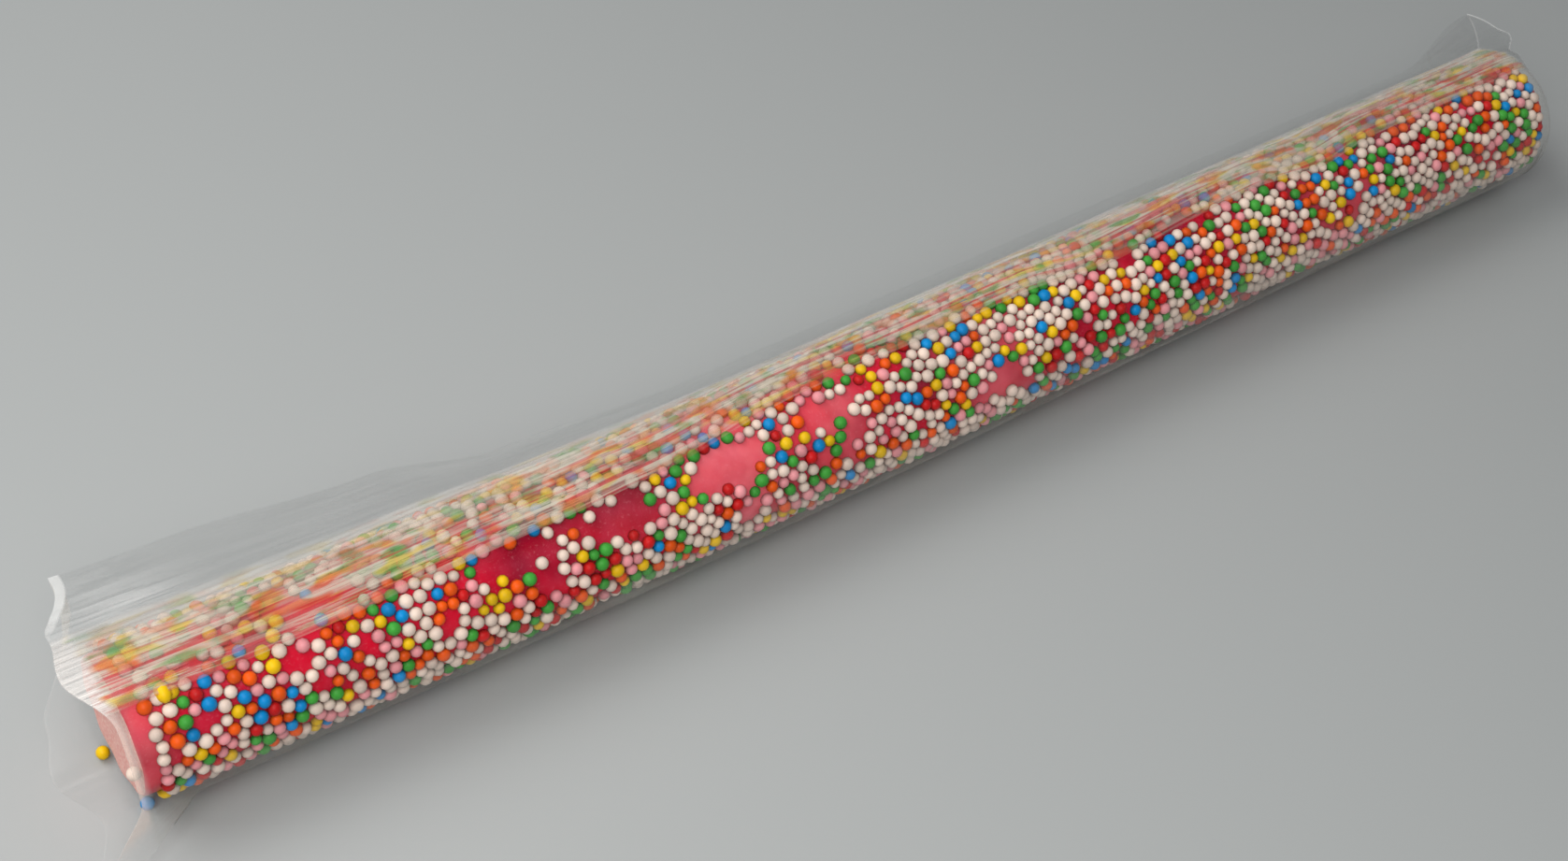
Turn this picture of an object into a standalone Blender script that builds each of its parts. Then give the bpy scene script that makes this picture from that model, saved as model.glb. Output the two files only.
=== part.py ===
"""Candy stick: a round stick of pulled sugar candy rolled in sugar pearls, lying in its
clear film sleeve.

The stick runs along X with its cut end at -X. +Y is the side the sleeve's slack is
drawn out to, and the sleeve lies on the plane z = 0. All sizes are in metres.
"""
import math

import bmesh
import bpy
import numpy as np
from mathutils import Matrix, Vector

# Candy
CANDY_LENGTH = 0.245
CORE_RADIUS = 0.00915
CORE_SIDES = 24
CORE_STATIONS = 18
CUT_RIM = 0.0006
CORE_LUMP = 0.012
BOW_DEPTH = 0.0014
BOW_LEAN = 0.35
BOW_DRIFT = 0.0006

# Sugar pearls
PEARL_RADIUS = 0.00091
PEARL_SPREAD = 0.07
PEARL_SUNK = 0.00060
PEARLS = 268
NEAR_BARE_RIM = 0.0028
FAR_BARE_RIM = 0.0020
PLACE_NUDGE = 0.0009
TURN_NUDGE = 0.09
PEARL_SEED = 7
GOLDEN_ANGLE = math.pi * (3.0 - math.sqrt(5.0))

# Film sleeve
FILM_GAP = 0.0003
FILM_WALL = 0.0003
FILM_SIDES = 28
FILM_STATIONS = 16
NEAR_LIP_ROWS = 5
FAR_LIP_ROWS = 3
SNUG_FROM = 0.0060
SNUG_TO = CANDY_LENGTH - 0.0020
FAR_GATHER = 0.18
# Half angle of the slack film pressed flat under the stick, which it rests on.
SEAT_HALF_ANGLE = math.radians(20)
# Reach of the pressed fold behind the stick from the stick's axis, at places along it.
FOLD_SIDE = 7
FOLD_REACH = ((-0.008, 0.0240), (0.017, 0.0232), (0.044, 0.0208), (0.062, 0.0168),
              (0.090, 0.0153), (0.236, 0.0150), (0.258, 0.0208))
# The corner of the near end that lies flat on z = 0 in front of the stick.
TAIL_SIDE = -5
TAIL_REACH = 0.0200
# Where the lips end: degrees round the stick from +Y towards +Z, and X from each cut end.
NEAR_LIP = ((-180, -0.0016), (-148, -0.0085), (-112, -0.0046), (-68, -0.0074), (-35, -0.0056),
            (6, 0.0020), (36, -0.0028), (88, -0.0046), (131, -0.0014), (180, -0.0016))
FAR_LIP = ((-180, 0.0014), (-60, 0.0016), (-22, 0.0075), (6, 0.0135), (26, 0.0110),
           (62, 0.0045), (105, 0.0016), (180, 0.0014))


def stick_y(x):
    """Sideways place of the stick's axis: one slow bow, deepest before the middle."""
    t = np.clip(np.asarray(x, float) / CANDY_LENGTH, 0.0, 1.0)
    bow = np.sin(math.pi * t) + BOW_LEAN * np.sin(2.0 * math.pi * t)
    return BOW_DRIFT * t - BOW_DEPTH * bow


def core_swell(x):
    """Slow swelling and thinning of the hand-rolled stick, about 1 in the mean."""
    waves = np.sin(x / 0.0173 + 0.6) + 0.7 * np.sin(x / 0.0089 + 2.1)
    return 1.0 + CORE_LUMP * waves / 1.7


def surface(name, colour, roughness, alpha=1.0):
    """One Principled material."""
    material = bpy.data.materials.new(name)
    material.use_nodes = True
    shader = material.node_tree.nodes["Principled BSDF"]
    shader.inputs["Base Color"].default_value = (*colour, 1.0)
    shader.inputs["Roughness"].default_value = roughness
    shader.inputs["Metallic"].default_value = 0.0
    shader.inputs["Alpha"].default_value = alpha
    return material


def collection(name):
    """A new collection linked to the scene."""
    made = bpy.data.collections.new(name)
    bpy.context.scene.collection.children.link(made)
    return made


def core_mesh():
    """The bare stick: a curve with a round bevel, whose point radii give the rolled
    swell and a crisp rim at both cut ends."""
    inner = np.linspace(CUT_RIM, CANDY_LENGTH - CUT_RIM, CORE_STATIONS)
    xs = np.concatenate(([0.0], inner, [CANDY_LENGTH]))
    radii = CORE_RADIUS * core_swell(xs)
    radii[[0, -1]] -= CUT_RIM

    curve = bpy.data.curves.new("stick_run", "CURVE")
    curve.dimensions = "3D"
    curve.bevel_depth = 1.0
    curve.bevel_resolution = CORE_SIDES // 2 - 2
    curve.use_fill_caps = True
    run = curve.splines.new("POLY")
    run.points.add(len(xs) - 1)
    for point, x, y, radius in zip(run.points, xs, stick_y(xs), radii):
        point.co = (x, y, 0.0, 1.0)
        point.radius = radius
    holder = bpy.data.objects.new("stick_run", curve)
    bpy.context.scene.collection.objects.link(holder)
    bpy.context.view_layer.update()
    seen = holder.evaluated_get(bpy.context.evaluated_depsgraph_get())
    mesh = bpy.data.meshes.new_from_object(seen)
    bpy.data.objects.remove(holder)

    shape = bmesh.new()
    shape.from_mesh(mesh)
    bmesh.ops.remove_doubles(shape, verts=shape.verts, dist=0.00001)
    bmesh.ops.recalc_face_normals(shape, faces=shape.faces)
    shape.to_mesh(mesh)
    shape.free()
    return mesh


def pearl_places():
    """Centre and radius of each pearl: a golden-angle spiral along the stick, which
    spreads them evenly, each nudged a little. They are sunk into the candy by a third."""
    draw = np.random.default_rng(PEARL_SEED)
    places = []
    last = CANDY_LENGTH - FAR_BARE_RIM
    for number in range(PEARLS):
        along = NEAR_BARE_RIM + (last - NEAR_BARE_RIM) * (number + 0.5) / PEARLS
        x = min(max(along + draw.normal(0.0, PLACE_NUDGE), NEAR_BARE_RIM), last)
        turn = number * GOLDEN_ANGLE + draw.normal(0.0, TURN_NUDGE)
        radius = PEARL_RADIUS * (1.0 - draw.uniform(0.0, PEARL_SPREAD))
        out = CORE_RADIUS * float(core_swell(x)) - PEARL_SUNK + radius
        y = float(stick_y(x)) + out * math.cos(turn)
        places.append((Vector((x, y, out * math.sin(turn))), radius))
    return places


def pearl_mesh():
    """All pearls as twenty-sided balls, each turned its own way."""
    shape = bmesh.new()
    for number, (centre, radius) in enumerate(pearl_places()):
        turned = Matrix.Rotation(1.7 * number, 4, "X") @ Matrix.Rotation(0.9 * number, 4, "Z")
        bmesh.ops.create_icosphere(shape, subdivisions=1, radius=radius,
                                   matrix=Matrix.Translation(centre) @ turned)
    mesh = bpy.data.meshes.new("pearls")
    shape.to_mesh(mesh)
    shape.free()
    return mesh


def make_candy(home):
    """The stick with its pearls fused on by one union."""
    candy = bpy.data.objects.new("candy_stick", core_mesh())
    home.objects.link(candy)
    pearls = bpy.data.objects.new("pearls", pearl_mesh())
    toppings = collection("toppings")
    toppings.objects.link(pearls)
    fuse = candy.modifiers.new("fuse", "BOOLEAN")
    fuse.operation = "UNION"
    fuse.operand_type = "COLLECTION"
    fuse.collection = toppings
    fuse.solver = "MANIFOLD"
    bpy.context.view_layer.update()
    seen = candy.evaluated_get(bpy.context.evaluated_depsgraph_get())
    mesh = bpy.data.meshes.new_from_object(seen)
    candy.modifiers.remove(fuse)
    candy.data = mesh
    bpy.data.objects.remove(pearls)
    bpy.data.collections.remove(toppings)
    mesh.name = "candy_stick"
    mesh.materials.clear()
    mesh.materials.append(surface("sugar_candy", (0.60, 0.045, 0.13), 0.25))
    mesh.shade_smooth()
    mesh.set_sharp_from_angle(angle=math.radians(45))
    return candy


def drawn_out(turn, tip_turn, radius, reach):
    """Polar outline of a circle drawn out to a tip: the circle and the two straight
    tangents from the tip at distance reach."""
    away = np.abs((turn - tip_turn + math.pi) % (2.0 * math.pi) - math.pi)
    shoulder = math.acos(min(radius / reach, 1.0))
    return np.where(away < shoulder, radius / np.cos(away - shoulder), radius)


def eased(x, knots):
    """Values at x between knots, eased in and out at each knot."""
    places, values = np.array(knots, float).T
    x = np.clip(x, places[0], places[-1])
    step = np.clip(np.searchsorted(places, x, side="right") - 1, 0, len(places) - 2)
    t = (x - places[step]) / (places[step + 1] - places[step])
    return values[step] + (values[step + 1] - values[step]) * t * t * (3.0 - 2.0 * t)


def film_grid():
    """The sleeve's outer face as rows of points, from its near lips to its far lips.

    Each row is a circle round the stick, flat underneath, drawn out behind to the pressed
    fold and, past the near end, in front to the corner that lies flat. Past the far end
    the circle is gathered in a little over the candy's rim.
    """
    step = 2.0 * math.pi / FILM_SIDES
    turn = -math.pi / 2 + (np.arange(FILM_SIDES) + 0.5) * step
    fold_turn = turn[FOLD_SIDE]
    tail_turn = turn[0] + TAIL_SIDE * step
    snug = CORE_RADIUS * (1.0 + CORE_LUMP) - PEARL_SUNK + 2.0 * PEARL_RADIUS
    radius = (snug + FILM_GAP + FILM_WALL) / math.cos(step / 2)
    floor = -radius * math.cos(step / 2)

    degrees = (np.degrees(turn) + 180.0) % 360.0 - 180.0
    near_lip = eased(degrees, NEAR_LIP)
    far_lip = CANDY_LENGTH + eased(degrees, FAR_LIP)
    open_near = 1.0 - np.arange(NEAR_LIP_ROWS) / NEAR_LIP_ROWS
    open_far = (np.arange(FAR_LIP_ROWS) + 1.0) / FAR_LIP_ROWS
    rows = [(SNUG_FROM + (near_lip - SNUG_FROM) * t, t, 0.0) for t in open_near]
    rows += [(np.full(FILM_SIDES, x), 0.0, 0.0) for x in np.linspace(SNUG_FROM, SNUG_TO, FILM_STATIONS)]
    rows += [(SNUG_TO + (far_lip - SNUG_TO) * t, 0.0, t) for t in open_far]

    points = []
    for xs, near, far in rows:
        round_stick = radius * (1.0 - FAR_GATHER * far ** 2)
        out = drawn_out(turn, fold_turn, round_stick, float(eased(xs[FOLD_SIDE], FOLD_REACH)))
        tail = round_stick + max(TAIL_REACH - round_stick, 0.0) * near
        out = np.maximum(out, drawn_out(turn, tail_turn, round_stick, tail))
        seat = -floor * round_stick / radius / np.cos(turn + math.pi / 2)
        out = np.where(np.abs(turn + math.pi / 2) < SEAT_HALF_ANGLE, seat, out)
        ys = stick_y(xs) + out * np.cos(turn)
        zs = np.maximum(out * np.sin(turn), floor)
        points.append(np.stack([xs, ys, zs], axis=1))
    return np.array(points)


def film_mesh(grid):
    """The sleeve's outer face, lofted through the rows with its normals outwards."""
    rows, sides, _ = grid.shape
    faces = []
    for r in range(rows - 1):
        for s in range(sides):
            after = (s + 1) % sides
            faces.append((r * sides + s, r * sides + after,
                          (r + 1) * sides + after, (r + 1) * sides + s))
    mesh = bpy.data.meshes.new("film_wrapper")
    mesh.from_pydata(grid.reshape(-1, 3).tolist(), [], faces)
    return mesh


def make_film(home, grid):
    """The clear sleeve: the lofted face with a wall turned inwards."""
    film = bpy.data.objects.new("film_wrapper", film_mesh(grid))
    home.objects.link(film)
    wall = film.modifiers.new("wall", "SOLIDIFY")
    wall.thickness = FILM_WALL
    wall.offset = -1.0
    wall.use_even_offset = True
    film.data.materials.append(surface("clear_film", (0.90, 0.91, 0.92), 0.12, 0.25))
    film.data.shade_smooth()
    film.data.set_sharp_from_angle(angle=math.radians(40))
    return film


for old in list(bpy.data.objects):
    bpy.data.objects.remove(old)

parts = collection("candy_stick_in_film")
candy = make_candy(parts)
sleeve = make_film(parts, film_grid())

# The sleeve is the outermost piece all round, so its box sets the origin.
bpy.context.view_layer.update()
built = sleeve.evaluated_get(bpy.context.evaluated_depsgraph_get())
corners = np.array([tuple(corner) for corner in built.bound_box])
lowest, highest = corners.min(axis=0), corners.max(axis=0)
middle = (lowest + highest) / 2
for piece in (candy, sleeve):
    piece.location = (-middle[0], -middle[1], -lowest[2])
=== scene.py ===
import math

import bpy
import numpy as np
from mathutils import Matrix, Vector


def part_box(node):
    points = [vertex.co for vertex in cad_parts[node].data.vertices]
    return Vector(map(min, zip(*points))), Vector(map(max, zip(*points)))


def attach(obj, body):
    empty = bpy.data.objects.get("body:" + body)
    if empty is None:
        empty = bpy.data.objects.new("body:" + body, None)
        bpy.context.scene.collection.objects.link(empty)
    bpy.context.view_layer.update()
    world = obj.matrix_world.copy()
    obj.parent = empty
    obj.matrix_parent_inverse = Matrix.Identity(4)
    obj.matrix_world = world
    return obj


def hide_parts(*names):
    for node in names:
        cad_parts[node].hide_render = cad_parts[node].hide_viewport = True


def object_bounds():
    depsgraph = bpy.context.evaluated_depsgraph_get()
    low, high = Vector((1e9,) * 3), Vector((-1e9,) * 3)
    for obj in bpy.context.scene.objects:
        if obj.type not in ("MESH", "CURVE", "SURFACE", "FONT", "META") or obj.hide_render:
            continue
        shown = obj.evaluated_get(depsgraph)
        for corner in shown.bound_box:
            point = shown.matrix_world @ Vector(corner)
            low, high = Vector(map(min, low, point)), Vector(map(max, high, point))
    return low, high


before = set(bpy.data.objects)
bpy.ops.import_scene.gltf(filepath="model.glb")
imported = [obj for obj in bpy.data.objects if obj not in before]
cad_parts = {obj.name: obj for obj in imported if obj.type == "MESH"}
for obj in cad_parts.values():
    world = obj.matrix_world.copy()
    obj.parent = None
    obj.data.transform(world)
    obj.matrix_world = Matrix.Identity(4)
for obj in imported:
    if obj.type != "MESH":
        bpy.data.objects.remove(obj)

# A candy stick rolled in sugar pearls, lying in its clear film sleeve. The stick runs
# along X with the near cut end at -X, and the sleeve's pressed fold is on the +Y side.
cad_low, cad_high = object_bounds()


# The stick: boiled sugar pulled and rolled by hand, glossy and deep pink, cut straight
# through at both ends, where the pale inside shows. Its run, swell and thickness are
# those of the solid it replaces.
STICK_LENGTH = 0.245
CORE_RADIUS = 0.00915
GIRTH = 2.0 * math.pi * CORE_RADIUS
CUT_RIM = 0.0006
CORE_LUMP = 0.012
# The rolled swell: sines along the stick, each with its pitch over 2 pi, phase and share.
SWELLS = ((0.0173, 0.6, 1.0), (0.0089, 2.1, 0.7))
# Low dents: depth, how many round the stick, pitch along it over 2 pi, and phase.
DENTS = ((0.00005, 3.0, 0.011, 0.0), (0.00004, 5.0, -0.0067, 1.0))
AXIS_SHIFT = -0.003289
AXIS_HEIGHT = (cad_low[2] + cad_high[2]) / 2
BOW_DEPTH = 0.0014
BOW_LEAN = 0.35
BOW_DRIFT = 0.0006
# The bow leans the solid's near cut face past the middle of the cut by this much.
CUT_LEAN = 0.00024
NEAR_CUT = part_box("candy_stick")[0][0] + CUT_LEAN
# Where pulling left the sugar paler: x from the near cut, half length, how pale.
PALE_STRETCHES = ((0.0008, 0.0030, 0.5), (0.0685, 0.0060, 0.12), (0.0845, 0.0080, 0.95),
                  (0.1010, 0.0050, 0.6), (0.1285, 0.0080, 0.6), (0.2000, 0.0090, 0.4))
CORE_ROWS = 230
CORE_SIDES = 112
# Rings of the cut face, as shares of its radius, and rings of its rounded rim.
FACE_RINGS = np.array([0.0, 0.2, 0.45, 0.7, 0.86])
RIM_RINGS = 5
FACE_RELIEF = 0.00010
FACE_FURROWS = 9.0
POLE_MERGE = 0.00001


def stick_y(x):
    """Sideways place of the stick's axis at distance x from the near cut: a drift plus a
    sine bow and a smaller one of double pitch, so that it is deepest before the middle."""
    t = np.clip(x / STICK_LENGTH, 0.0, 1.0)
    bow = np.sin(math.pi * t) + BOW_LEAN * np.sin(2.0 * math.pi * t)
    return AXIS_SHIFT + BOW_DRIFT * t - BOW_DEPTH * bow


def core_radius(x, turn):
    """The candy's radius: the mean one, swollen and thinned by sines along the stick,
    with low dents that wind round it."""
    swell = sum(share * np.sin(x / pitch + phase) for pitch, phase, share in SWELLS)
    most = sum(share for _, _, share in SWELLS)
    dents = sum(depth * np.sin(around * turn + x / pitch + phase) for depth, around, pitch, phase in DENTS)
    return CORE_RADIUS * (1.0 + CORE_LUMP * swell / most) + dents


def placed(x, turn, out):
    """World points at distance x from the near cut, turned from +Y towards +Z round the
    stick's axis, at distance out from it."""
    return np.stack([NEAR_CUT + x, stick_y(x) + out * np.cos(turn),
                     AXIS_HEIGHT + out * np.sin(turn)], axis=-1)


def mesh_piece(name, points, faces, material, attributes=()):
    """An object from whole arrays: points (n, 3), faces (m, 3 or 4) and point attributes
    given as (name, values), where values are n floats or n vectors."""
    mesh = bpy.data.meshes.new(name)
    sides = faces.shape[1]
    mesh.vertices.add(len(points))
    mesh.vertices.foreach_set("co", points.astype(np.float32).ravel())
    mesh.loops.add(faces.size)
    mesh.loops.foreach_set("vertex_index", faces.astype(np.int32).ravel())
    mesh.polygons.add(len(faces))
    mesh.polygons.foreach_set("loop_start", np.arange(0, faces.size, sides, dtype=np.int32))
    mesh.update(calc_edges=True)
    for title, values in attributes:
        kind, field = ("FLOAT", "value") if values.ndim == 1 else ("FLOAT_VECTOR", "vector")
        layer = mesh.attributes.new(title, kind, "POINT")
        layer.data.foreach_set(field, values.astype(np.float32).ravel())
    mesh.shade_smooth()
    mesh.materials.append(material)
    piece = bpy.data.objects.new(name, mesh)
    bpy.context.scene.collection.objects.link(piece)
    return piece


def grid_faces(rows, columns, around):
    """Quads of a grid of rows by columns, closed on itself across the columns if around."""
    r = np.arange(rows - 1)[:, None] * columns
    c = np.arange(columns if around else columns - 1)[None, :]
    after = (c + 1) % columns
    return np.stack([r + c, r + after, r + columns + after, r + columns + c], axis=-1).reshape(-1, 4)


def new_material(name):
    """A node material: itself, its tree, its Principled shader and its output."""
    material = bpy.data.materials.new(name)
    material.use_nodes = True
    nodes = material.node_tree.nodes
    return material, material.node_tree, nodes["Principled BSDF"], nodes["Material Output"]


def linear(red, green, blue):
    """A colour given by its screen values, 0 to 255, as the linear one a shader takes."""
    screen = np.array([red, green, blue]) / 255.0
    light = np.where(screen <= 0.04045, screen / 12.92, ((screen + 0.055) / 1.055) ** 2.4)
    return (*light.tolist(), 1.0)


def noise(tree, vector, per_metre, detail=2.0, roughness=0.5):
    """A noise pattern on a vector socket, which changes so many times a metre."""
    node = tree.nodes.new("ShaderNodeTexNoise")
    node.inputs["Scale"].default_value = per_metre
    node.inputs["Detail"].default_value = detail
    node.inputs["Roughness"].default_value = roughness
    tree.links.new(vector, node.inputs["Vector"])
    return node.outputs["Fac"]


def remap(tree, value, low, high, to_low, to_high):
    """A value socket mapped from low..high to to_low..to_high, held at both ends."""
    node = tree.nodes.new("ShaderNodeMapRange")
    for name, number in (("From Min", low), ("From Max", high), ("To Min", to_low), ("To Max", to_high)):
        node.inputs[name].default_value = number
    tree.links.new(value, node.inputs["Value"])
    return node.outputs["Result"]


def reckoned(tree, operation, first, second):
    """A math node on two sockets or numbers."""
    node = tree.nodes.new("ShaderNodeMath")
    node.operation = operation
    for socket, value in zip(node.inputs, (first, second)):
        if isinstance(value, (int, float)):
            socket.default_value = value
        else:
            tree.links.new(value, socket)
    return node.outputs["Value"]


def mixed(tree, factor, first, second):
    """A colour between two colours, or colour sockets, by a factor socket."""
    node = tree.nodes.new("ShaderNodeMix")
    node.data_type = "RGBA"
    tree.links.new(factor, node.inputs["Factor"])
    for socket, colour in ((node.inputs["A"], first), (node.inputs["B"], second)):
        if isinstance(colour, tuple):
            socket.default_value = colour
        else:
            tree.links.new(colour, socket)
    return node.outputs["Result"]


def bumped(tree, height, strength, distance, normal_socket):
    """A bump from a height socket, linked to a shader's normal."""
    node = tree.nodes.new("ShaderNodeBump")
    node.inputs["Strength"].default_value = strength
    node.inputs["Distance"].default_value = distance
    tree.links.new(height, node.inputs["Height"])
    tree.links.new(node.outputs["Normal"], normal_socket)


def attribute(tree, name, output):
    """An attribute of the piece's mesh."""
    node = tree.nodes.new("ShaderNodeAttribute")
    node.attribute_name = name
    return node.outputs[output]


def pulled_sugar(name):
    """Boiled sugar: dark and bright streaks, paler along the pulled stretches, a little
    clouded, with fine bubbles, and on the cut faces the dull pale crystals of the inside."""
    material, tree, shader, _ = new_material(name)
    place = tree.nodes.new("ShaderNodeTexCoord").outputs["Object"]
    streaks = remap(tree, noise(tree, place, 62.0, 3.0), 0.34, 0.56, 0.0, 1.0)
    dark, bright = linear(140, 0, 36), linear(220, 6, 46)
    skin = mixed(tree, streaks, dark, bright)
    pulled = remap(tree, noise(tree, place, 240.0), 0.35, 0.65, 0.55, 1.0)
    pulled = reckoned(tree, "MULTIPLY", pulled, attribute(tree, "pale", "Fac"))
    pale = linear(250, 124, 134)
    skin = mixed(tree, pulled, skin, pale)
    clouding = remap(tree, noise(tree, place, 380.0), 0.35, 0.70, 0.0, 0.16)
    cloud = linear(228, 84, 116)
    skin = mixed(tree, clouding, skin, cloud)
    bubbling = remap(tree, noise(tree, place, 2100.0, 2.0, 0.7), 0.58, 0.74, 0.0, 0.16)
    bubble = linear(244, 156, 168)
    skin = mixed(tree, bubbling, skin, bubble)
    crystals = remap(tree, noise(tree, place, 2600.0), 0.3, 0.7, 0.0, 1.0)
    inside = mixed(tree, crystals, linear(234, 156, 148), linear(248, 204, 192))
    cut = remap(tree, attribute(tree, "cut", "Fac"), 0.35, 0.65, 0.0, 1.0)
    tree.links.new(mixed(tree, cut, skin, inside), shader.inputs["Base Color"])
    glossy, dull = 0.28, 0.6
    tree.links.new(remap(tree, cut, 0.0, 1.0, glossy, dull), shader.inputs["Roughness"])
    shader.inputs["Specular IOR Level"].default_value = 0.11
    bumped(tree, noise(tree, place, 900.0, 3.0), 0.35, 0.0002, shader.inputs["Normal"])
    return material


# The profile runs in over each cut face: distance along, and share of the radius.
rim = np.linspace(0.0, math.pi / 2, RIM_RINGS)
rim_share = CUT_RIM / CORE_RADIUS
near_x = np.concatenate([np.zeros(len(FACE_RINGS)), CUT_RIM * (1.0 - np.cos(rim))])
near_out = np.concatenate([FACE_RINGS * (1.0 - rim_share), 1.0 - rim_share * (1.0 - np.sin(rim))])
side_x = np.linspace(CUT_RIM, STICK_LENGTH - CUT_RIM, CORE_ROWS)[1:-1]
core_x = np.concatenate([near_x, side_x, STICK_LENGTH - near_x[::-1]])
core_share = np.concatenate([near_out, np.ones(len(side_x)), near_out[::-1]])
core_cut = np.where(core_share < 1.0 - 0.5 * rim_share, 1.0, 0.0)
turns = np.linspace(0.0, 2.0 * math.pi, CORE_SIDES, endpoint=False)
x_grid, turn_grid = np.meshgrid(core_x, turns, indexing="ij")
relief = FACE_RELIEF * core_cut[:, None] * np.sin(FACE_FURROWS * turn_grid) * core_share[:, None] ** 2
x_core = x_grid + np.where(x_grid < STICK_LENGTH / 2, relief, -relief)
points = placed(x_core, turn_grid, core_radius(x_grid, turn_grid) * core_share[:, None]).reshape(-1, 3)
pale_x, pale_half, pale_most = np.array(PALE_STRETCHES).T
pale = (pale_most * np.exp(-((core_x[:, None] - pale_x) / pale_half) ** 2)).max(axis=1)
stick = mesh_piece("candy_core", points, grid_faces(len(core_x), CORE_SIDES, True),
                   pulled_sugar("deep_pink_sugar"),
                   [("cut", np.repeat(core_cut, CORE_SIDES)), ("pale", np.repeat(pale, CORE_SIDES))])
weld = stick.modifiers.new("poles", "WELD")
weld.merge_threshold = POLE_MERGE
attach(stick, "root")
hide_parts("candy_stick")


# The sugar pearls: small hard sugar balls that the warm stick was rolled in. They lie
# close and touch in clusters, but leave a few bare patches and a bare rim at each end.
PEARL_COUNT = 4560
PEARL_RADIUS = 0.00091
PEARL_LARGEST = 0.00098
PEARL_SPREAD = 0.20
PEARL_OVALNESS = 0.025
PEARL_SUNK = 0.00060
PEARL_SIDES = 10
PEARL_RINGS = 5
NEAR_BARE_RIM = 0.0027
FAR_BARE_RIM = 0.0016
# Painted shade at a pearl's foot, where it meets the candy: how dark, how far up from the candy, and its
# most.
FOOT_PAINTED_SHADE = 0.18
PAINTED_SHADE_HEIGHT = 0.00080
PAINTED_SHADE_MOST = 0.9
# The deepest and lightest tone of a colour, from pearl to pearl.
DEEP_TONE = 0.72
LIGHT_TONE = 1.10
# Bare patches: x from the near cut, degrees round the stick, half length, half arc.
BARE_PATCHES = ((0.0511, 127, 0.0068, 0.0019), (0.0662, 131, 0.0052, 0.0027), (0.0837, 128, 0.0064, 0.0026),
                (0.1000, 119, 0.0044, 0.0015), (0.1014, 162, 0.0013, 0.0036), (0.1282, 169, 0.0058, 0.0015),
                (0.0274, 97, 0.0062, 0.0019), (0.172, 300, 0.0070, 0.0030), (0.060, 20, 0.0080, 0.0030),
                (0.205, 60, 0.0060, 0.0024))
# Bareness ends at this share of a patch's half size and rises inwards at this slope. Most
# of the pearls that settling pushes into a patch are cleared off it again.
PATCH_EDGE = 1.15
PATCH_SLOPE = 2.0
STRAYS_CLEARED = 0.9
# Small gaps between pearls, more of them towards the near end.
SMALL_GAPS = 150
GAP_MARGIN = 0.008
GAP_CROWDING = 1.7
GAP_HALF_LENGTHS = (0.0008, 0.0021)
GAP_HALF_ARCS = (0.0008, 0.0014)
# Pearls are pushed apart so many times, each by so much of its overlap with the next few.
SETTLE_ROUNDS = 60
SETTLE_PUSH = 0.35
SETTLE_NEIGHBOURS = 40
# Each colour with its share of the pearls.
PEARL_COLOURS = (("cream", 0.425, (240, 218, 203)), ("green", 0.12, (66, 164, 60)),
                 ("pink", 0.12, (244, 160, 166)), ("yellow", 0.10, (242, 196, 12)),
                 ("orange", 0.10, (244, 92, 10)), ("red", 0.08, (208, 24, 26)),
                 ("blue", 0.055, (0, 142, 214)))
PEARL_SEED = 20
draw = np.random.default_rng(PEARL_SEED)
gap_x = GAP_MARGIN + (STICK_LENGTH - 2.0 * GAP_MARGIN) * draw.uniform(0.0, 1.0, SMALL_GAPS) ** GAP_CROWDING
gap_arc = draw.uniform(0.0, GIRTH, SMALL_GAPS)
gap_half_length = draw.uniform(*GAP_HALF_LENGTHS, SMALL_GAPS)
gap_half_arc = draw.uniform(*GAP_HALF_ARCS, SMALL_GAPS)


def bareness(x, arc):
    """How bare the stick is left, 0 to 1: soft-edged ovals, one for each bare patch and
    for each of the small gaps."""
    patch_x, degrees, half_length, half_arc = np.array(BARE_PATCHES).T
    middle_x = np.concatenate([patch_x, gap_x])
    middle_arc = np.concatenate([np.radians(degrees) * CORE_RADIUS, gap_arc])
    apart = arc[:, None] - middle_arc
    apart -= GIRTH * np.round(apart / GIRTH)
    away = np.hypot((x[:, None] - middle_x) / np.concatenate([half_length, gap_half_length]),
                    apart / np.concatenate([half_arc, gap_half_arc]))
    return np.clip(PATCH_SLOPE * (PATCH_EDGE - away.min(axis=1)), 0.0, 1.0)


def settled(x, arc, radius):
    """Pearls pushed apart until they only touch. They are sorted along the stick, so that
    each is compared with the next few, and two that overlap move apart along their line."""
    for _ in range(SETTLE_ROUNDS):
        order = np.argsort(x)
        x, arc, radius = x[order], arc[order], radius[order]
        move_x, move_arc = np.zeros_like(x), np.zeros_like(x)
        for step in range(1, SETTLE_NEIGHBOURS):
            dx = x[step:] - x[:-step]
            da = arc[step:] - arc[:-step]
            da -= GIRTH * np.round(da / GIRTH)
            gap = np.hypot(dx, da) + 1e-9
            push = np.clip(radius[step:] + radius[:-step] - gap, 0.0, None) * SETTLE_PUSH / gap
            move_x[step:] += push * dx
            move_x[:-step] -= push * dx
            move_arc[step:] += push * da
            move_arc[:-step] -= push * da
        x = np.clip(x + move_x, NEAR_BARE_RIM, STICK_LENGTH - FAR_BARE_RIM)
        arc = arc + move_arc
    return x, arc, radius


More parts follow.
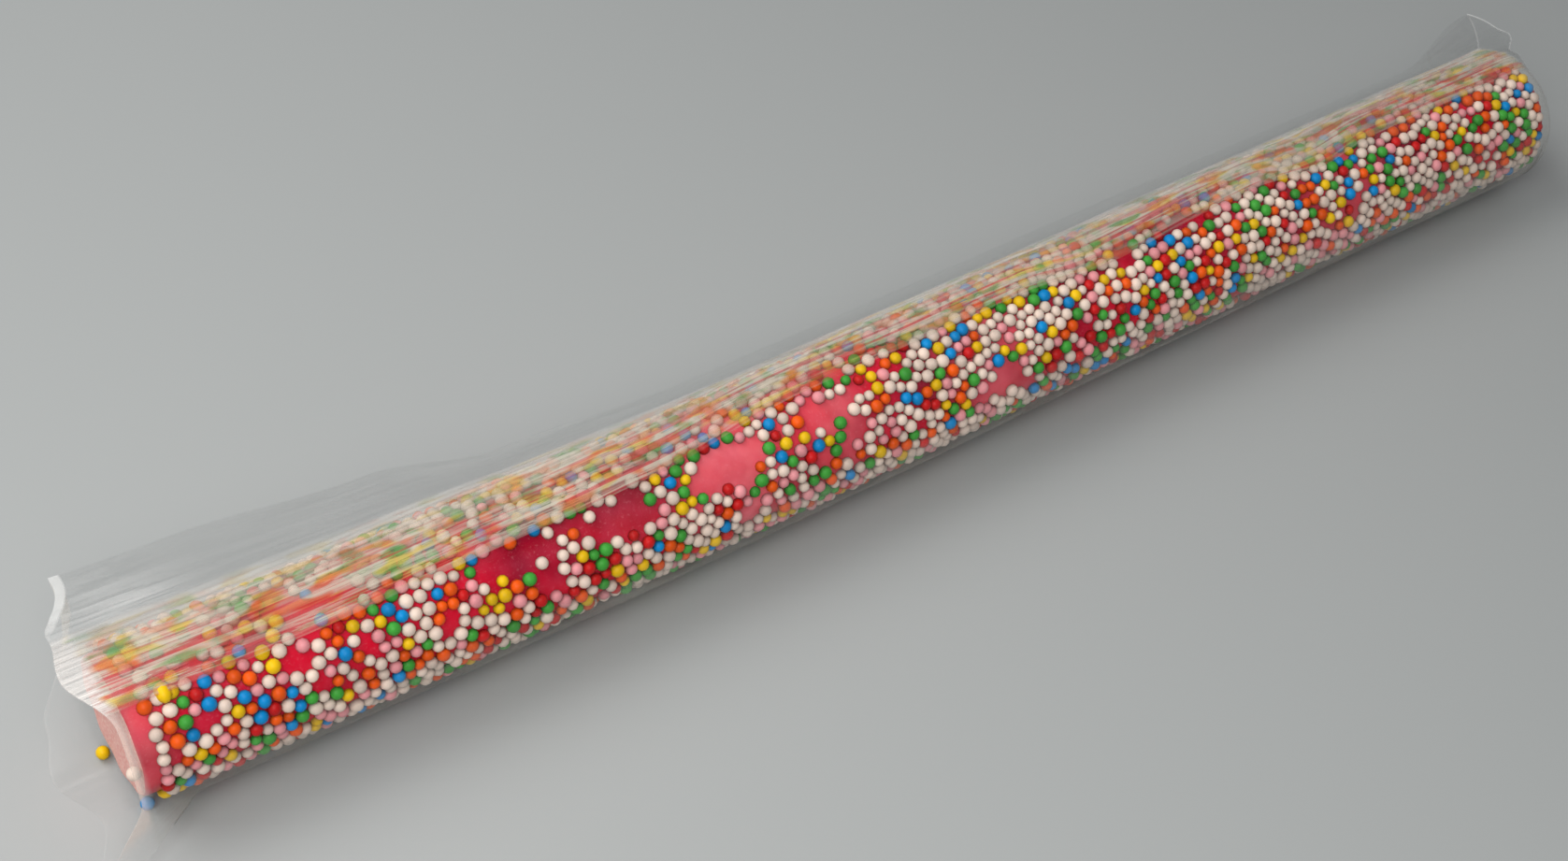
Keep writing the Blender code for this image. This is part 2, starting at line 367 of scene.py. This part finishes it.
def ball_points(centres, radii, axes, ovals):
    """Balls of rings by sides, pole to pole: each ball's unit points by the sine and
    cosine of both angles, stretched by its oval, turned by its axes, grown and moved."""
    climb = np.linspace(-math.pi / 2, math.pi / 2, PEARL_RINGS + 2)
    swing = np.linspace(0.0, 2.0 * math.pi, PEARL_SIDES, endpoint=False)
    ring = np.stack([np.cos(climb[1:-1, None]) * np.cos(swing), np.cos(climb[1:-1, None]) * np.sin(swing),
                     np.repeat(np.sin(climb[1:-1, None]), PEARL_SIDES, axis=1)], axis=-1).reshape(-1, 3)
    unit = np.concatenate([[[0.0, 0.0, -1.0]], ring, [[0.0, 0.0, 1.0]]])
    local = unit[None, :, :] * ovals[:, None, :] * radii[:, None, None]
    return centres[:, None, :] + np.einsum("pvk,pkc->pvc", local, axes)


def ball_faces(count):
    """Triangles of so many balls, and a ball's number of points: each ball has two fans
    at its poles and split bands between its rings."""
    side = np.arange(PEARL_SIDES)
    after = (side + 1) % PEARL_SIDES
    last = 1 + PEARL_RINGS * PEARL_SIDES
    top = last - PEARL_SIDES
    fans = [np.stack([np.zeros_like(side), 1 + after, 1 + side], axis=1),
            np.stack([np.full_like(side, last), top + side, top + after], axis=1)]
    for band in range(PEARL_RINGS - 1):
        low, high = 1 + band * PEARL_SIDES, 1 + (band + 1) * PEARL_SIDES
        fans.append(np.stack([low + side, low + after, high + after], axis=1))
        fans.append(np.stack([low + side, high + after, high + side], axis=1))
    one = np.concatenate(fans)
    return (one[None] + (last + 1) * np.arange(count)[:, None, None]).reshape(-1, 3), last + 1


def turned_axes(count):
    """Random right-handed axes for each pearl, from a random unit quaternion."""
    quaternions = draw.normal(size=(4, count))
    w, i, j, k = quaternions / np.linalg.norm(quaternions, axis=0)
    return np.stack([
        np.stack([1 - 2 * (j * j + k * k), 2 * (i * j - k * w), 2 * (i * k + j * w)], axis=-1),
        np.stack([2 * (i * j + k * w), 1 - 2 * (i * i + k * k), 2 * (j * k - i * w)], axis=-1),
        np.stack([2 * (i * k - j * w), 2 * (j * k + i * w), 1 - 2 * (i * i + j * j)], axis=-1)], axis=1)


def shaded(colour, factor):
    """A linear colour made deeper or lighter by a factor."""
    return tuple(min(1.0, channel * factor) for channel in colour[:3]) + (1.0,)


def pearl_material(name, colour):
    """Matt sugar: the colour a little uneven from pearl to pearl and over each, with a
    fine sugary grain, and painted shade over the foot of the pearl, where it meets the candy."""
    material, tree, shader, _ = new_material(name)
    place = tree.nodes.new("ShaderNodeTexCoord").outputs["Object"]
    base = linear(*colour)
    body = mixed(tree, attribute(tree, "tone", "Fac"), shaded(base, DEEP_TONE), shaded(base, LIGHT_TONE))
    patchy = remap(tree, noise(tree, place, 1400.0), 0.35, 0.7, 0.0, 0.5)
    body = mixed(tree, patchy, body, base)
    # Painted shade: darker towards the foot of each pearl, by its height over the candy.
    painted_foot_shade = remap(tree, attribute(tree, "height", "Fac"), 0.0, PAINTED_SHADE_HEIGHT, PAINTED_SHADE_MOST, 0.0)
    body = mixed(tree, painted_foot_shade, body, shaded(base, FOOT_PAINTED_SHADE))
    tree.links.new(body, shader.inputs["Base Color"])
    shader.inputs["Roughness"].default_value = 0.42
    shader.inputs["Specular IOR Level"].default_value = 0.18
    bumped(tree, noise(tree, place, 5200.0), 0.25, 0.00006, shader.inputs["Normal"])
    return material


# Three places are drawn for each pearl, and the first that aren't bare are taken.
tries = 3 * PEARL_COUNT
x = draw.uniform(NEAR_BARE_RIM - PEARL_RADIUS, STICK_LENGTH - FAR_BARE_RIM + PEARL_RADIUS, tries)
arc = draw.uniform(0.0, GIRTH, tries)
kept = np.flatnonzero(draw.uniform(size=tries) > bareness(x, arc))[:PEARL_COUNT]
radius = PEARL_LARGEST * (1.0 - PEARL_SPREAD * draw.uniform(0.0, 1.0, len(kept)))
x, arc, radius = settled(x[kept], arc[kept], radius)
kept = draw.uniform(size=len(x)) > STRAYS_CLEARED * bareness(x, arc)
x, arc, radius = x[kept], arc[kept], radius[kept]
count = len(x)
turn = arc / CORE_RADIUS
centres = placed(x, turn, core_radius(x, turn) - PEARL_SUNK + radius)
axes = turned_axes(count)
ovals = 1.0 + draw.normal(0.0, PEARL_OVALNESS, (count, 3))
tone = draw.uniform(size=count)
lot = draw.choice(len(PEARL_COLOURS), size=count, p=np.array([share for _, share, _ in PEARL_COLOURS]))
for number, (colour_name, _, colour) in enumerate(PEARL_COLOURS):
    mine = np.flatnonzero(lot == number)
    faces, each = ball_faces(len(mine))
    points = ball_points(centres[mine], radius[mine], axes[mine], ovals[mine]).reshape(-1, 3)
    x_point = points[:, 0] - NEAR_CUT
    rise = np.hypot(points[:, 1] - stick_y(x_point), points[:, 2] - AXIS_HEIGHT)
    # Each point's height over the candy, which sets how much painted shade it gets.
    height = rise - core_radius(x_point, np.repeat(turn[mine], each))
    sugar = pearl_material("sugar_" + colour_name, colour)
    pearls = mesh_piece("pearls_" + colour_name, points, faces, sugar,
                        [("tone", np.repeat(tone[mine], each)), ("height", height)])
    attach(pearls, "root")
    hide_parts("candy_stick")


# Loose pearls: a few that came off lie in the sleeve's near mouth, and one large oval one
# sits on top near the end. Place in the world, colour, and stretch along each axis.
LOOSE_PEARLS = (((-0.1255, 0.0015, 0.0010), "yellow", (1.0, 1.0, 1.0)),
                ((-0.1240, -0.0084, 0.0010), "blue", (1.0, 1.0, 1.0)),
                ((-0.1258, -0.0119, 0.0123), "cream", (1.0, 1.0, 1.0)),
                ((-0.1197, -0.0084, 0.0198), "yellow", (1.15, 1.7, 1.2)))
MIDDLE_TONE = 0.5
for number, (spot, colour_name, stretch) in enumerate(LOOSE_PEARLS):
    faces, each = ball_faces(1)
    points = ball_points(np.array([spot]), np.array([PEARL_RADIUS]), np.eye(3)[None], np.array([stretch]))[0]
    # Their height is set to the top of the painted shade, so none shows on them.
    loose = mesh_piece("loose_pearl_%d" % (number + 1), points, faces,
                       bpy.data.materials["sugar_" + colour_name],
                       [("tone", np.full(each, MIDDLE_TONE)), ("height", np.full(each, PAINTED_SHADE_HEIGHT))])
    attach(loose, "root")
    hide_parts("candy_stick")


# The film sleeve: a flat tube of clear film, longer than the stick. Its slack is pressed
# into a fold behind the stick, its near mouth gapes, with one corner lying flat in front,
# and its far mouth is gathered over the rim. Its outline is that of the solid it replaces.
FILM_THICKNESS = 0.00006
FILM_SIDES = 168
SNUG_ROWS = 200
MOUTH_ROWS = 22
TOP_RADIUS = 0.01066
LOWER_SLACK = 0.00050
SLACK_TURN = math.radians(38)
# The film wavers by this much, at these pitches over 2 pi along the stick.
WAVER = 0.00007
WAVER_PITCHES = (0.0121, 0.0313)
SNUG_FROM = 0.0060
SNUG_TO = STICK_LENGTH - 0.0020
FAR_GATHER = 0.18
# The seat pressed flat under the stick, and as shares of its half angle where it ends and
# over how much it is eased.
SEAT_HALF_ANGLE = math.radians(20)
SEAT_END = 1.3
SEAT_EASE = 0.6
FOLD_TURN = math.radians(6.43)
FOLD_REACH = ((-0.008, 0.0240), (0.017, 0.0232), (0.044, 0.0208), (0.062, 0.0168),
              (0.090, 0.0153), (0.236, 0.0150), (0.258, 0.0208))
TAIL_TURN = math.radians(-147.86)
TAIL_REACH = 0.0200
# Where the lips end: degrees round the stick from +Y towards +Z, and X from each cut end.
NEAR_LIP = ((-180, -0.0016), (-148, -0.0085), (-112, -0.0046), (-68, -0.0074), (-35, -0.0056),
            (6, 0.0020), (36, -0.0028), (88, -0.0046), (131, -0.0014), (180, -0.0016))
FAR_LIP = ((-180, 0.0014), (-60, 0.0016), (-22, 0.0075), (6, 0.0135), (26, 0.0110),
           (62, 0.0045), (105, 0.0016), (180, 0.0014))
# Width of the painted highlight along the near lips, by degrees round the stick, and how
# much of it shows: least round the lower lips, most at the pressed fold.
LIP_HIGHLIGHT_WIDTH = ((-180, 0.00035), (-10, 0.00035), (2, 0.0013), (30, 0.0013), (38, 0.00035), (180, 0.00035))
LIP_HIGHLIGHT_SHOWN = ((-180, 0.10), (-20, 0.10), (4, 0.9), (20, 0.8), (36, 0.25), (60, 0.35), (128, 0.45), (150, 0.10),
             (180, 0.10))
# Width of the painted highlight along the far lips, and the most that it hides of the film.
FAR_LIP_HIGHLIGHT_WIDTH = 0.0003
LIP_HIGHLIGHT = 0.5
# The near mouth begins just past the cut. Between these degrees it is crushed, with more
# painted glints, misty on the lobe to its left and less so over its top: each rises over the
# first two, and falls over the last two.
PAST_CUT = 0.001
CRUSHED_BAND = (34.0, 46.0, 124.0, 132.0)
LOBE_BAND = (118.0, 143.0, 194.0, 204.0)
TOP_BAND = (36.0, 48.0, 125.0, 140.0)
LOBE_MIST = 0.25
TOP_MIST = 0.07
MOUTH_MIST = 0.035
# A crumpled spot behind the near end's top, with painted glints: its x, degrees, half length and half turn.
SPOT_X = 0.006
SPOT_DEGREES = 33.0
SPOT_HALF_LENGTH = 0.007
SPOT_HALF_TURN = 14.0
SPOT_MOST = 0.9
# The film's veil rises over the candy in two steps: from degrees, over degrees, by a share.
VEIL_STEPS = ((40, 8, 0.55), (50, 30, 0.45))
# How often each pattern changes along and across the film, a metre.
WRINKLES = (70.0, 1500.0)
PATCHES = (70.0, 260.0)
LONG_FOLDS = (24.0, 1900.0)
# Where the film is bare, crushed, or at the far end, its painted glint lines and veil are so much.
BARE_STREAKING = 0.0015
BARE_VEIL = 0.02
CRUSHED_STREAKING = 1.4
FAR_STREAKING = 0.35
FAR_VEILING = 2.0
FAR_CHANGES_FROM = 0.03
# The gloss of a face seen square and edge on, the light it lets through, the most it hides.
FACE_GLOSS = 0.002
EDGE_GLOSS = 0.40
FACE_PASSES = 0.985
MOST_COVER = 0.95


def eased(x, knots):
    """Values at x between knots, eased in and out at each knot."""
    places, values = np.array(knots, float).T
    x = np.clip(x, places[0], places[-1])
    step = np.clip(np.searchsorted(places, x, side="right") - 1, 0, len(places) - 2)
    t = (x - places[step]) / (places[step + 1] - places[step])
    return values[step] + (values[step + 1] - values[step]) * t * t * (3.0 - 2.0 * t)


def degrees_round(turn):
    """A turn in degrees, from -180 to 180."""
    return (np.degrees(turn) + 180.0) % 360.0 - 180.0


def lips(turn):
    """X of the near and of the far lip at each turn, and the width of the painted highlight along the near
    lip.
    """
    degrees = degrees_round(turn)
    return eased(degrees, NEAR_LIP), STICK_LENGTH + eased(degrees, FAR_LIP), eased(degrees, LIP_HIGHLIGHT_WIDTH)


def drawn_out(turn, tip_turn, radius, reach):
    """Polar outline of a circle drawn out to a tip: the circle and the two straight
    tangents from the tip at distance reach."""
    away = np.abs((turn - tip_turn + math.pi) % (2.0 * math.pi) - math.pi)
    shoulder = np.arccos(np.minimum(radius / reach, 1.0))
    return np.where(away < shoulder, radius / np.cos(away - shoulder), radius)


def film_out(x, turn):
    """Distance of the film from the stick's axis: a circle a little slacker in front and
    below, drawn out to the fold and, at the near mouth, to the corner that lies flat,
    gathered in past the far end and pressed flat where the stick rests on it."""
    near_x, far_x, _ = lips(turn)
    fold_near, fold_far, _ = lips(np.array(FOLD_TURN))
    near = np.clip((SNUG_FROM - x) / (SNUG_FROM - near_x), 0.0, 1.0)
    far = np.clip((x - SNUG_TO) / (far_x - SNUG_TO), 0.0, 1.0)
    along_fold = x + (SNUG_FROM + (fold_near - SNUG_FROM) * near - x) * (near > 0.0)
    along_fold = along_fold + (SNUG_TO + (fold_far - SNUG_TO) * far - along_fold) * (far > 0.0)
    slack = TOP_RADIUS + LOWER_SLACK * (0.5 - 0.5 * np.cos(turn - SLACK_TURN))
    slack = slack + WAVER * np.sin(x / WAVER_PITCHES[0] + 2.0 * turn) * np.sin(x / WAVER_PITCHES[1] + 1.0)
    slack = slack * (1.0 - FAR_GATHER * far ** 2)
    out = drawn_out(turn, FOLD_TURN, slack, eased(along_fold, FOLD_REACH))
    tail = slack + np.clip(TAIL_REACH - slack, 0.0, None) * near
    out = np.maximum(out, drawn_out(turn, TAIL_TURN, slack, tail))
    under = np.abs((turn + 1.5 * math.pi) % (2.0 * math.pi) - math.pi)
    pressed = np.clip((SEAT_HALF_ANGLE * SEAT_END - under) / (SEAT_HALF_ANGLE * SEAT_EASE), 0.0, 1.0)
    pressed = pressed * pressed * (3.0 - 2.0 * pressed)
    seat = AXIS_HEIGHT * (1.0 - FAR_GATHER * far ** 2) / np.cos(np.minimum(under, 1.0))
    return out + (seat - out) * pressed


def band(degrees, rise_from, rise_to, fall_from, fall_to):
    """1 between two straight ramps, and 0 outside them."""
    rise = np.clip((degrees - rise_from) / (rise_to - rise_from), 0.0, 1.0)
    return rise * np.clip((fall_to - degrees) / (fall_to - fall_from), 0.0, 1.0)


def crushed_and_glinting(x, turn):
    """How crushed the film is, 0 to 1, which adds painted glints: its near mouth over the top
    of the cut end, and a crumpled spot behind the near end's top, which fades as a bell."""
    degrees = degrees_round(turn)
    over_cut = np.clip(-x / PAST_CUT, 0.0, 1.0) * band(degrees, *CRUSHED_BAND)
    spot = np.exp(-((x - SPOT_X) / SPOT_HALF_LENGTH) ** 2 - ((degrees - SPOT_DEGREES) / SPOT_HALF_TURN) ** 2)
    return np.maximum(over_cut, SPOT_MOST * spot)


def misted(x, turn):
    """How misty the film is past the near cut end: most on the lobe to its left, less over
    its top and least on the corner that lies flat."""
    degrees = np.degrees(turn) % 360.0
    mist = MOUTH_MIST + LOBE_MIST * band(degrees, *LOBE_BAND) + TOP_MIST * band(degrees, *TOP_BAND)
    return np.clip(-x / PAST_CUT, 0.0, 1.0) * mist


def over_the_candy(x, turn):
    """How much of the film's veil shows, 0 to 1: it rises in steps of turn from the back
    silhouette up, and only where there is candy below."""
    veil = sum(share * np.clip((turn - math.radians(start)) / math.radians(span), 0.0, 1.0)
               for start, span, share in VEIL_STEPS)
    return veil * (x > -PAST_CUT) * (x < STICK_LENGTH)


def sheet_faces(rows, columns, around):
    """Faces of a thin sheet: its outer grid, its inner grid turned over, and its rims."""
    outer = grid_faces(rows, columns, around)
    inner = outer[:, ::-1] + rows * columns
    grid = np.arange(rows * columns).reshape(rows, columns)
    if around:
        loops = [np.append(grid[0], grid[0, 0]), np.append(grid[-1, ::-1], grid[-1, -1])]
    else:
        loops = [np.concatenate([grid[0], grid[1:, -1], grid[-1, -2::-1], grid[-2::-1, 0]])]
    rims = [np.stack([loop[1:], loop[:-1], loop[:-1] + grid.size, loop[1:] + grid.size], axis=1)
            for loop in loops]
    return np.concatenate([outer, inner, *rims])


def film_piece(name, x, turn, lift, around, material, from_edge):
    """A thin sheet of film over grids of x and turn, lifted off the sleeve's outline. Its
    wall goes inwards along the normals, the cross product of the grid's two directions.
    The attribute ply holds the film's own place and how far it lies over the candy."""
    near_x, far_x, lip_highlight_width = lips(turn)
    points = placed(x, turn, film_out(x, turn) + lift)
    points[..., 2] = np.maximum(points[..., 2], 0.0)
    across = np.roll(points, -1, axis=1) - np.roll(points, 1, axis=1)
    if not around:
        across = np.gradient(points, axis=1)
    normals = np.cross(across, np.gradient(points, axis=0))
    normals /= np.linalg.norm(normals, axis=-1, keepdims=True)
    inner = points - FILM_THICKNESS * normals
    inner[..., 2] = np.maximum(inner[..., 2], FILM_THICKNESS)
    # Distance in from the lips, in widths of the painted highlight along them.
    from_lip = np.minimum((x - near_x) / lip_highlight_width, (far_x - x) / FAR_LIP_HIGHLIGHT_WIDTH)
    ply = np.stack([x, from_edge, over_the_candy(x, turn)], axis=-1).reshape(-1, 3)
    fields = (("from_lip", from_lip), ("lip_highlight_shown", eased(degrees_round(turn), LIP_HIGHLIGHT_SHOWN)),
              ("crushed_and_glinting", crushed_and_glinting(x, turn)), ("misted", misted(x, turn)))
    both = np.concatenate([points.reshape(-1, 3), inner.reshape(-1, 3)])
    piece = mesh_piece(name, both, sheet_faces(*x.shape, around), material,
                       [("ply", np.tile(ply, (2, 1)))]
                       + [(title, np.tile(values.ravel(), 2)) for title, values in fields])
    piece.data.set_sharp_from_angle(angle=math.radians(60))
    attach(piece, "root")
    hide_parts("film_wrapper")


def stretched(tree, ply, pattern, shift):
    """The film's own place, along and across, scaled for a pattern and shifted."""
    node = tree.nodes.new("ShaderNodeVectorMath")
    node.operation = "MULTIPLY_ADD"
    node.inputs[1].default_value = (*pattern, 0.0)
    node.inputs[2].default_value = (shift, shift, 0.0)
    tree.links.new(ply, node.inputs[0])
    return node.outputs["Vector"]


def product(tree, first, *others):
    """The product of several sockets or numbers."""
    for other in others:
        first = reckoned(tree, "MULTIPLY", first, other)
    return first


def streaked(tree, ply, along, from_edge, wrinkles, patches):
    """The film's pale lines, 0 to 1 and over, painted glints of light along its wrinkles:
    the crests of its wrinkles, the creases half way up them and a few long folds, in patches,
    most near the film's edge but not on it, and fewer at the far end."""
    off_crease = reckoned(tree, "ABSOLUTE", reckoned(tree, "SUBTRACT", wrinkles, 0.5), 0.0)
    lines = reckoned(tree, "MAXIMUM", remap(tree, wrinkles, 0.46, 0.66, 0.0, 1.0),
                     remap(tree, off_crease, 0.0, 0.03, 0.9, 0.0))
    long_folds = noise(tree, stretched(tree, ply, LONG_FOLDS, 23.0), 1.0)
    lines = reckoned(tree, "MAXIMUM", lines, remap(tree, long_folds, 0.50, 0.60, 0.0, 0.9))
    return product(tree, lines, remap(tree, patches, 0.30, 0.62, 0.30, 1.0),
                   remap(tree, from_edge, 0.001, 0.012, 1.6, 0.6),
                   remap(tree, from_edge, 0.0, 0.0010, 0.1, 1.0),
                   remap(tree, along, FAR_CHANGES_FROM, STICK_LENGTH, 1.0, FAR_STREAKING))


def film_material(name, veil_colour, veils, streaking, at_grazing, painted_smears):
    """Clear film: see-through, with the gloss of its faces by Schlick's formula, a pale haze
    where it is scuffed or misted, painted glints along its wrinkles, which run along the stick,
    and a painted highlight along its lips. The veil goes from the first to the second of veils
    with distance from the film's edge, and carries painted smears of the pearls and candy seen
    through the film, stretched along the stick."""
    material, tree, shader, output = new_material(name)
    ply = attribute(tree, "ply", "Vector")
    parts = tree.nodes.new("ShaderNodeSeparateXYZ")
    tree.links.new(ply, parts.inputs["Vector"])
    along, from_edge, over_candy = parts.outputs
    wrinkles = noise(tree, stretched(tree, ply, WRINKLES, 0.0), 1.0, 4.0, 0.62)
    patches = noise(tree, stretched(tree, ply, PATCHES, 5.0), 1.0)
    # More painted glints where the film is crushed.
    weight = reckoned(tree, "ADD", remap(tree, over_candy, 0.0, 1.0, BARE_STREAKING, streaking),
                      product(tree, attribute(tree, "crushed_and_glinting", "Fac"), CRUSHED_STREAKING * streaking))
    # Painted glints: pale lines along the film's wrinkles, weighted by where the film lies.
    streaks = product(tree, streaked(tree, ply, along, from_edge, wrinkles, patches), weight)
    veil = product(tree, remap(tree, over_candy, 0.0, 1.0, BARE_VEIL, 1.0),
                   remap(tree, from_edge, 0.0, 0.009, *veils),
                   remap(tree, along, FAR_CHANGES_FROM, STICK_LENGTH, 1.0, FAR_VEILING),
                   remap(tree, patches, 0.35, 0.65, 0.55, 1.45))
    layer = tree.nodes.new("ShaderNodeLayerWeight")
    layer.inputs["Blend"].default_value = 0.5
    facing = layer.outputs["Facing"]
    mist = attribute(tree, "misted", "Fac")
    haze = reckoned(tree, "ADD", streaks, veil)
    haze = product(tree, haze, remap(tree, facing, 0.3, 0.95, 1.0, at_grazing))
    haze = reckoned(tree, "ADD", haze, mist)
    # Painted highlight along the film's lips.
    lip_highlight = product(tree, remap(tree, attribute(tree, "from_lip", "Fac"), 0.85, 1.1, LIP_HIGHLIGHT, 0.0),
                  attribute(tree, "lip_highlight_shown", "Fac"))
    haze = reckoned(tree, "MAXIMUM", haze, lip_highlight)
    gloss = product(tree, reckoned(tree, "POWER", facing, 5.0), EDGE_GLOSS)
    gloss = reckoned(tree, "ADD", gloss, FACE_GLOSS)
    cover = reckoned(tree, "ADD", gloss, haze)
    neutral, warm = linear(242, 243, 242), linear(252, 234, 222)
    colour = mixed(tree, remap(tree, mist, 0.05, 0.25, 0.0, 1.0), neutral, warm)
    colour = mixed(tree, over_candy, colour, veil_colour)
    # Painted smears of the pearls and candy seen through the film, stretched along the stick.
    for number, (smear, sets_in, full, pattern, inland) in enumerate(painted_smears):
        blot = noise(tree, stretched(tree, ply, pattern, 11.0 * (number + 1)), 1.0, 1.0)
        amount = product(tree, remap(tree, blot, sets_in, full, 0.0, 0.8), over_candy,
                         remap(tree, from_edge, 0.004, 0.009, 1.0, inland))
        colour = mixed(tree, amount, colour, smear)
    tree.links.new(colour, shader.inputs["Base Color"])
    tree.links.new(reckoned(tree, "DIVIDE", gloss, cover), shader.inputs["Metallic"])
    shader.inputs["Roughness"].default_value = 0.16
    bumped(tree, wrinkles, 0.5, 0.00012, shader.inputs["Normal"])
    clear = tree.nodes.new("ShaderNodeBsdfTransparent")
    clear.inputs["Color"].default_value = (FACE_PASSES, FACE_PASSES, FACE_PASSES, 1.0)
    mix = tree.nodes.new("ShaderNodeMixShader")
    tree.links.new(reckoned(tree, "MINIMUM", cover, MOST_COVER), mix.inputs["Fac"])
    tree.links.new(clear.outputs["BSDF"], mix.inputs[1])
    tree.links.new(shader.outputs["BSDF"], mix.inputs[2])
    tree.links.new(mix.outputs["Shader"], output.inputs["Surface"])
    return material


turns = FOLD_TURN + np.linspace(0.0, 2.0 * math.pi, FILM_SIDES, endpoint=False)[None, :]
near_x, far_x, _ = lips(turns)
opening = np.linspace(1.0, 0.0, MOUTH_ROWS, endpoint=False)[:, None]
x_near = SNUG_FROM + (near_x - SNUG_FROM) * opening
x_snug = np.linspace(SNUG_FROM, SNUG_TO, SNUG_ROWS)[:, None] + np.zeros_like(turns)
x_far = SNUG_TO + (far_x - SNUG_TO) * (1.0 - opening[::-1] + 1.0 / MOUTH_ROWS)
x_film = np.concatenate([x_near, x_snug, x_far])
turn_film = turns + np.zeros_like(x_film)
clear_film = film_material("clear_film", linear(210, 209, 202), (0.002, 0.002), 0.004, 60.0, ())
film_piece("film_sleeve", x_film, turn_film, 0.0, True, clear_film, 0.011 * turn_film)


# The overlap: the sleeve's slack laid back over the top of the stick, from the fold to a
# wandering edge in front. It is finely wrinkled along the stick, with painted glints along the wrinkles, and
# it veils the pearls.
FLAP_ROWS = 240
FLAP_COLUMNS = 160
FLAP_LIFT = 0.00016
FLAT_BY_FOLD = math.radians(30)
WRINKLE_PITCH = 0.0013
WRINKLE_HEIGHT = 0.00007
# The wrinkles wander: by how much of a wrinkle's phase, pitch over 2 pi, and phase.
WANDERS = ((0.8, 0.009, 0.0), (1.3, 0.023, 2.0))
# The overlap's front edge: x from the near cut, and degrees round the stick.
FLAP_EDGE = ((0.0, 121), (0.019, 122), (0.062, 117), (0.072, 115), (0.101, 102), (0.138, 101.8),
             (0.150, 109), (0.182, 101.5), (0.195, 109), (0.208, 101.6), (0.246, 101.6))
# Painted smears of the pearls and candy seen through the film: each colour, the noise values
# between which it sets in, how often it changes along and across the stick, a metre, and its share far from
# the edge.
PAINTED_SMEARS = ((linear(232, 204, 84), 0.53, 0.62, (170.0, 420.0), 1.0),
          (linear(112, 172, 100), 0.57, 0.65, (170.0, 420.0), 1.0),
          (linear(234, 130, 70), 0.57, 0.65, (170.0, 420.0), 0.6),
          (linear(214, 78, 88), 0.52, 0.60, (45.0, 1250.0), 0.25))
share = np.linspace(0.0, 1.0, FLAP_ROWS)[:, None]
edge = np.radians(eased(STICK_LENGTH * share, FLAP_EDGE))
turn_flap = FOLD_TURN + (edge - FOLD_TURN) * np.linspace(0.0, 1.0, FLAP_COLUMNS)[None, :]
near_x, far_x, _ = lips(turn_flap)
x_flap = near_x + (far_x - near_x) * share
from_edge = (edge - turn_flap) * TOP_RADIUS
off_fold = np.clip((turn_flap - FOLD_TURN) / FLAT_BY_FOLD, 0.0, 1.0)
wander = sum(most * np.sin(x_flap / pitch + phase) for most, pitch, phase in WANDERS)
lift = FLAP_LIFT + WRINKLE_HEIGHT * off_fold * np.sin(2.0 * math.pi * from_edge / WRINKLE_PITCH + wander)
streaked_film = film_material("streaked_film", linear(220, 212, 194), (0.05, 0.23), 0.32, 1.3, PAINTED_SMEARS)
film_piece("film_flap", x_flap, turn_flap, lift, False, streaked_film, from_edge)


# The floor and lights: a plain pale floor under a soft window behind and to the left, with
# a smaller light from the front left and a dim room all round.
bpy.ops.mesh.primitive_plane_add(size=6.0)
floor = bpy.context.object
floor.name = "floor"
floor_material, _, shader, _ = new_material("pale_floor")
shader.inputs["Base Color"].default_value = linear(164, 167, 167)
shader.inputs["Roughness"].default_value = 0.6
floor.data.materials.append(floor_material)

world = bpy.data.worlds.new("soft_room")
bpy.context.scene.world = world
world.use_nodes = True
background = world.node_tree.nodes["Background"]
background.inputs["Color"].default_value = (0.95, 0.98, 1.0, 1.0)
background.inputs["Strength"].default_value = 0.24


def soft_light(name, place, aim, size, power, colour):
    """A square area light at a place, turned towards a point."""
    lamp = bpy.data.lights.new(name, "AREA")
    lamp.size = size
    lamp.energy = power
    lamp.color = colour
    holder = bpy.data.objects.new(name, lamp)
    holder.location = place
    away = np.array(place) - np.array(aim)
    holder.rotation_euler = (math.atan2(math.hypot(away[0], away[1]), away[2]), 0.0,
                             math.atan2(away[1], away[0]) + math.pi / 2)
    bpy.context.scene.collection.objects.link(holder)


soft_light("window", (-0.26, 0.22, 0.46), (-0.02, 0.0, 0.0), 0.4, 1.9, (1.0, 0.985, 0.965))
soft_light("room", (-0.24, -0.20, 0.34), (-0.06, -0.05, 0.0), 0.3, 1.3, (1.0, 0.99, 0.97))


# The camera: it looks down along the stick from beyond its near end, rolled a little.
LENS = 52.89
SENSOR = 36.0
EYE = np.array([-0.169175, -0.179639, 0.236800])
AIM = np.array([-0.026585, -0.003289, 0.011080])
ROLL = math.radians(5.88)
lens = bpy.data.cameras.new("camera")
lens.lens = LENS
lens.sensor_width = SENSOR
lens.clip_start = 0.01
lens.clip_end = 20.0
camera = bpy.data.objects.new("camera", lens)
forward = (AIM - EYE) / np.linalg.norm(AIM - EYE)
level = np.cross(forward, (0.0, 0.0, 1.0))
level /= np.linalg.norm(level)
upward = np.cross(level, forward)
right = math.cos(ROLL) * level + math.sin(ROLL) * upward
upward = np.cross(right, forward)
camera.matrix_world = Matrix([[right[i], upward[i], -forward[i], EYE[i]] for i in range(3)]
                             + [[0.0, 0.0, 0.0, 1.0]])
bpy.context.scene.collection.objects.link(camera)
bpy.context.scene.camera = camera
bpy.context.scene.view_settings.view_transform = "Standard"
# A line of sight crosses many faces of film.
bpy.context.scene.cycles.transparent_max_bounces = 32
